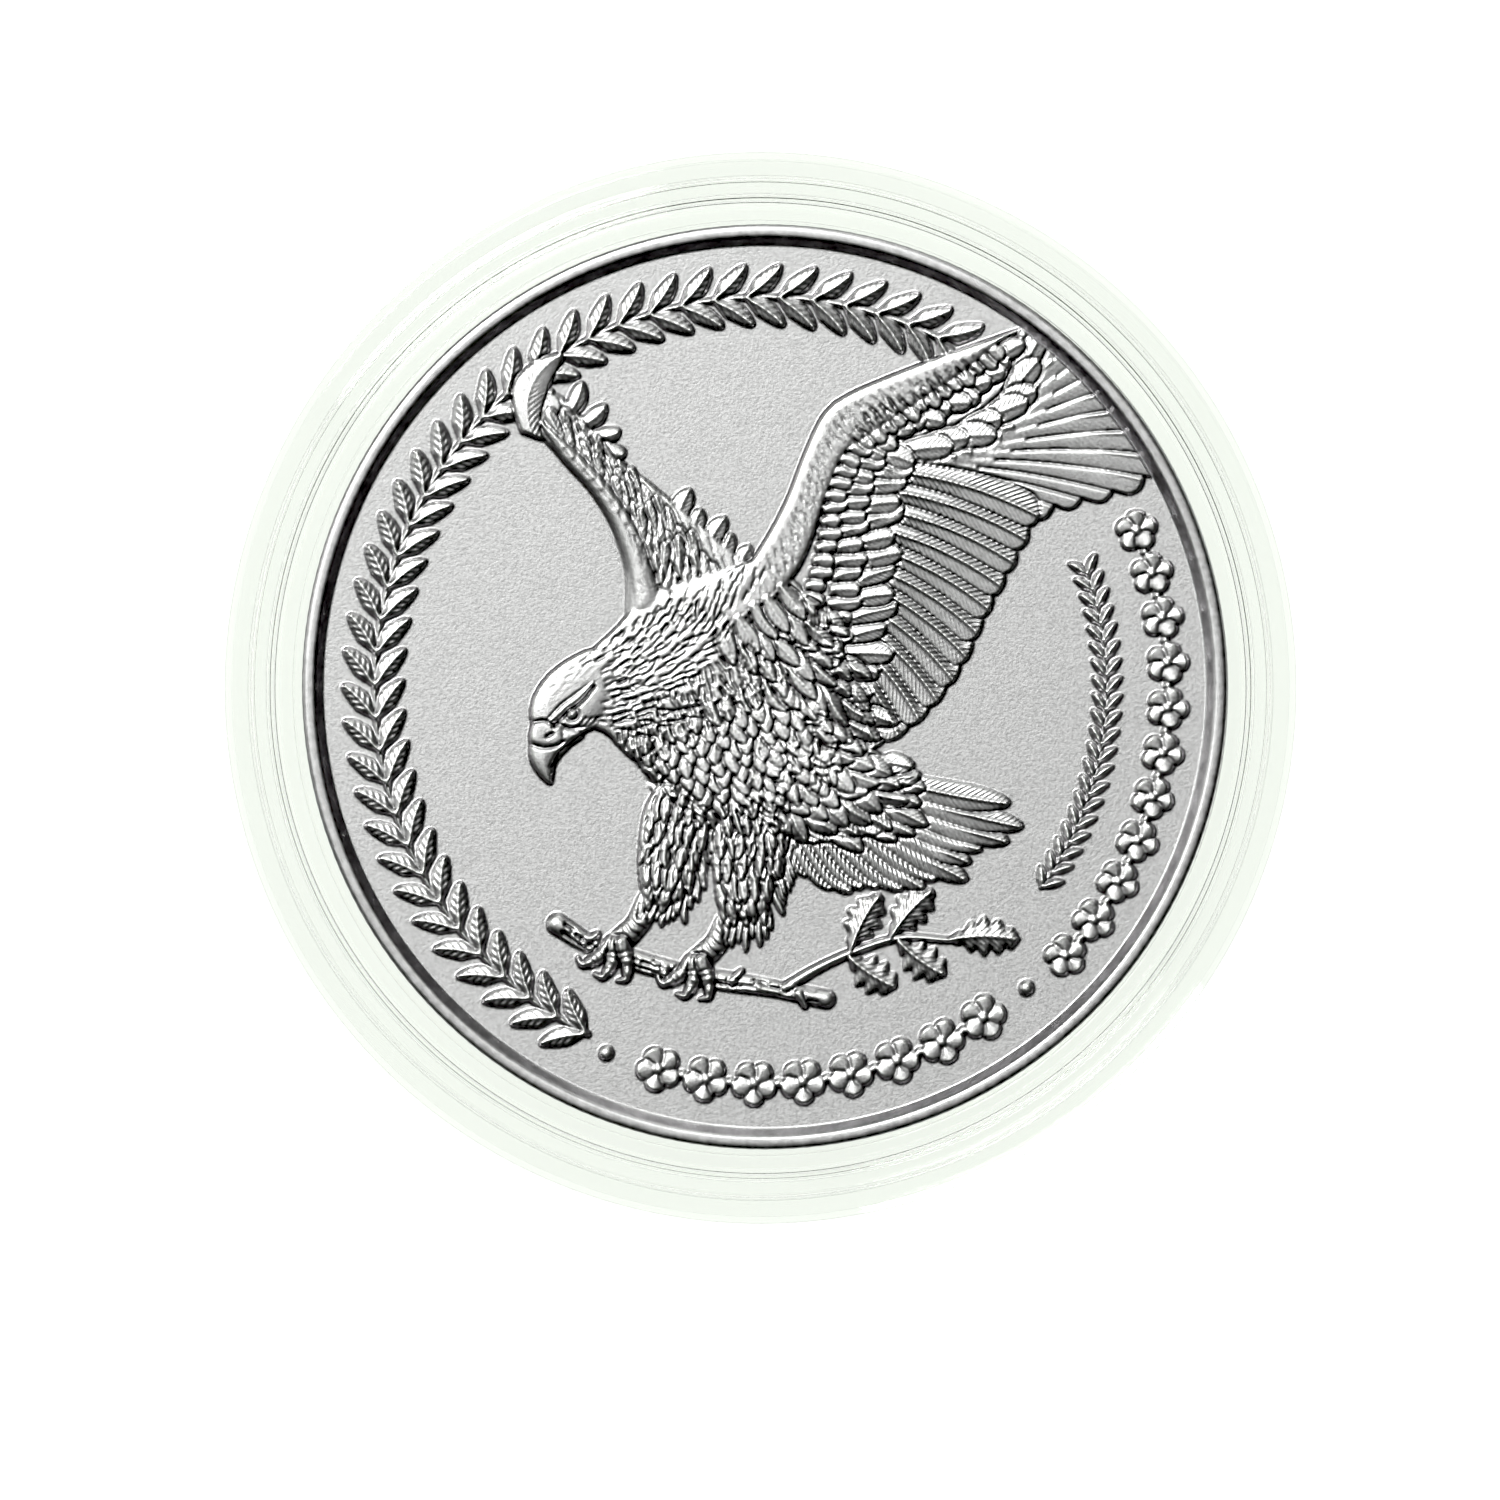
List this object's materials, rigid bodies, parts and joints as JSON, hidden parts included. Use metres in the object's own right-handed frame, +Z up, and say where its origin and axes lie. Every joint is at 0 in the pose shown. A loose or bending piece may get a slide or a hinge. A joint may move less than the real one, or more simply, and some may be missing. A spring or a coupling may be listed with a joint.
{
  "type": "round coin capsule with coin",
  "caption": "Round clear two-part capsule whose lid plugs over the base's collar, holding a satin silver coin with a raised rim.",
  "frame": {"origin": "middle of the capsule's underside, in the plane of the foot ring it rests on", "axes": "+Z up through both windows, out of the coin's face; +Y towards the top of the coin's design; +X to its right"},
  "size_m": [0.047, 0.047, 0.006],
  "materials": {
    "clear_plastic": "gloss",
    "satin_silver": "satin"
  },
  "bodies": {
    "base": {"base_shell": "clear_plastic"},
    "lid": {"lid_shell": "clear_plastic"},
    "coin": {"coin": "satin_silver"}
  },
  "joints": [
    {"name": "lid_lift", "type": "slide", "parent": "base", "child": "lid", "axis": [0, 0, 1], "range_m": [0, 0.03]},
    {"name": "coin_lift", "type": "slide", "parent": "base", "child": "coin", "axis": [0, 0, 1], "range_m": [0, 0.015]}
  ],
  "couplings": [
    {"joint": "coin_lift", "follows": "lid_lift", "ratio": 0.5}
  ]
}
